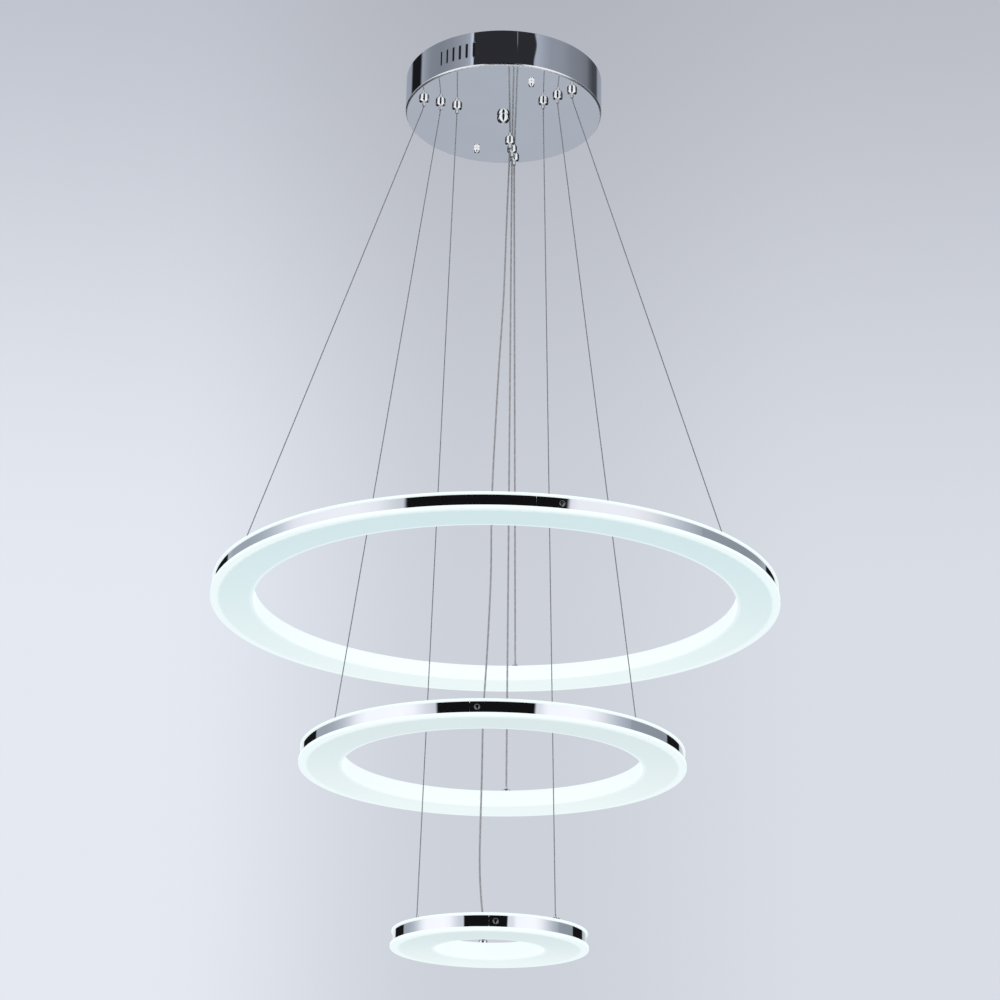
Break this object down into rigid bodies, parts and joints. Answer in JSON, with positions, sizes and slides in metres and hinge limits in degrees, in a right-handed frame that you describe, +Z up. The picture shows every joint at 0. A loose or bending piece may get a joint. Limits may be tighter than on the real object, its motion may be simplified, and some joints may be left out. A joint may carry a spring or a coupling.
{
  "type": "led ring chandelier",
  "caption": "Concentric lit rings of chrome and frosted acrylic hang in steps on thin wires from a round chrome ceiling canopy, whose cable grippers set their heights.",
  "frame": {"origin": "centre of the crossbar's upper face, on the ceiling, midway between the two ceiling screws", "axes": "+Z up into the ceiling, -Y towards the front of the picture, +X to its right; everything hangs to -Z"},
  "size_m": [0.5999, 0.6, 1],
  "materials": {
    "canopy_chrome": "mirror-polished chrome plate on steel",
    "band_chrome": "polished stainless strip",
    "fitting_chrome": "polished nickel plate",
    "zinc_steel": "zinc plated",
    "frosted_underside": "frosted acrylic, lit from inside",
    "frosted_top": "frosted acrylic, lit from inside",
    "frosted_wall": "frosted acrylic, lit from inside",
    "led_strip": "white flexible strip with LEDs",
    "steel_wire": "fine stranded stainless wire",
    "clear_cord": "clear PVC over fine conductors",
    "driver_case": "plain white moulding",
    "terminal_plastic": "plain off-white moulding"
  },
  "bodies": {
    "canopy_assembly": {"crossbar": "zinc_steel", "canopy": "canopy_chrome", "bar_studs": "zinc_steel", "cap_nuts": "fitting_chrome", "centre_ball": "fitting_chrome", "shank_nuts": "zinc_steel", "led_driver": "driver_case", "terminal_block": "terminal_plastic", "gripper_large_far": "fitting_chrome", "gripper_large_left": "fitting_chrome", "gripper_large_right": "fitting_chrome", "gripper_medium_far": "fitting_chrome", "gripper_medium_left": "fitting_chrome", "gripper_medium_right": "fitting_chrome", "gripper_small_far": "fitting_chrome", "gripper_small_left": "fitting_chrome", "gripper_small_right": "fitting_chrome", "large_power_cord": "clear_cord", "large_wire_left": "steel_wire", "large_wire_right": "steel_wire", "medium_power_cord": "clear_cord", "medium_wire_left": "steel_wire", "medium_wire_right": "steel_wire", "small_power_cord": "clear_cord", "small_wire_left": "steel_wire", "small_wire_right": "steel_wire"},
    "large_ring": {"large_bottom_plate": "frosted_underside", "large_inner_wall": "frosted_wall", "large_top_plate": "frosted_top", "large_band": "band_chrome", "large_splice_plate": "zinc_steel", "large_led_strip": "led_strip", "large_fittings": "fitting_chrome", "large_fitting_nuts": "zinc_steel"},
    "medium_ring": {"medium_bottom_plate": "frosted_underside", "medium_inner_wall": "frosted_wall", "medium_top_plate": "frosted_top", "medium_band": "band_chrome", "medium_splice_plate": "zinc_steel", "medium_led_strip": "led_strip", "medium_fittings": "fitting_chrome", "medium_fitting_nuts": "zinc_steel"},
    "small_ring": {"small_bottom_plate": "frosted_underside", "small_inner_wall": "frosted_wall", "small_top_plate": "frosted_top", "small_band": "band_chrome", "small_splice_plate": "zinc_steel", "small_led_strip": "led_strip", "small_fittings": "fitting_chrome", "small_fitting_nuts": "zinc_steel"},
    "nozzle_large_far": {"nozzle_large_far": "fitting_chrome"},
    "nozzle_large_left": {"nozzle_large_left": "fitting_chrome"},
    "nozzle_large_right": {"nozzle_large_right": "fitting_chrome"},
    "nozzle_medium_far": {"nozzle_medium_far": "fitting_chrome"},
    "nozzle_medium_left": {"nozzle_medium_left": "fitting_chrome"},
    "nozzle_medium_right": {"nozzle_medium_right": "fitting_chrome"},
    "nozzle_small_far": {"nozzle_small_far": "fitting_chrome"},
    "nozzle_small_left": {"nozzle_small_left": "fitting_chrome"},
    "nozzle_small_right": {"nozzle_small_right": "fitting_chrome"}
  },
  "joints": [
    {"name": "large_ring_height", "type": "slide", "parent": "canopy_assembly", "child": "large_ring", "axis": [0, 0, 1], "range_m": [0, 0.4], "deforming": ["large_power_cord", "large_wire_left", "large_wire_right"]},
    {"name": "medium_ring_height", "type": "slide", "parent": "canopy_assembly", "child": "medium_ring", "axis": [0, 0, 1], "range_m": [0, 0.35], "deforming": ["medium_power_cord", "medium_wire_left", "medium_wire_right"]},
    {"name": "small_ring_height", "type": "slide", "parent": "canopy_assembly", "child": "small_ring", "axis": [0, 0, 1], "range_m": [0, 0.4], "deforming": ["small_power_cord", "small_wire_left", "small_wire_right"]},
    {"name": "nozzle_large_far_press", "type": "slide", "parent": "canopy_assembly", "child": "nozzle_large_far", "axis": [0, 0, 1], "range_m": [0, 0.002], "stiffness_N_per_m": 300, "springref_m": -0.002},
    {"name": "nozzle_large_left_press", "type": "slide", "parent": "canopy_assembly", "child": "nozzle_large_left", "axis": [0, 0, 1], "range_m": [0, 0.002], "stiffness_N_per_m": 300, "springref_m": -0.002},
    {"name": "nozzle_large_right_press", "type": "slide", "parent": "canopy_assembly", "child": "nozzle_large_right", "axis": [0, 0, 1], "range_m": [0, 0.002], "stiffness_N_per_m": 300, "springref_m": -0.002},
    {"name": "nozzle_medium_far_press", "type": "slide", "parent": "canopy_assembly", "child": "nozzle_medium_far", "axis": [0, 0, 1], "range_m": [0, 0.002], "stiffness_N_per_m": 300, "springref_m": -0.002},
    {"name": "nozzle_medium_left_press", "type": "slide", "parent": "canopy_assembly", "child": "nozzle_medium_left", "axis": [0, 0, 1], "range_m": [0, 0.002], "stiffness_N_per_m": 300, "springref_m": -0.002},
    {"name": "nozzle_medium_right_press", "type": "slide", "parent": "canopy_assembly", "child": "nozzle_medium_right", "axis": [0, 0, 1], "range_m": [0, 0.002], "stiffness_N_per_m": 300, "springref_m": -0.002},
    {"name": "nozzle_small_far_press", "type": "slide", "parent": "canopy_assembly", "child": "nozzle_small_far", "axis": [0, 0, 1], "range_m": [0, 0.002], "stiffness_N_per_m": 300, "springref_m": -0.002},
    {"name": "nozzle_small_left_press", "type": "slide", "parent": "canopy_assembly", "child": "nozzle_small_left", "axis": [0, 0, 1], "range_m": [0, 0.002], "stiffness_N_per_m": 300, "springref_m": -0.002},
    {"name": "nozzle_small_right_press", "type": "slide", "parent": "canopy_assembly", "child": "nozzle_small_right", "axis": [0, 0, 1], "range_m": [0, 0.002], "stiffness_N_per_m": 300, "springref_m": -0.002}
  ]
}
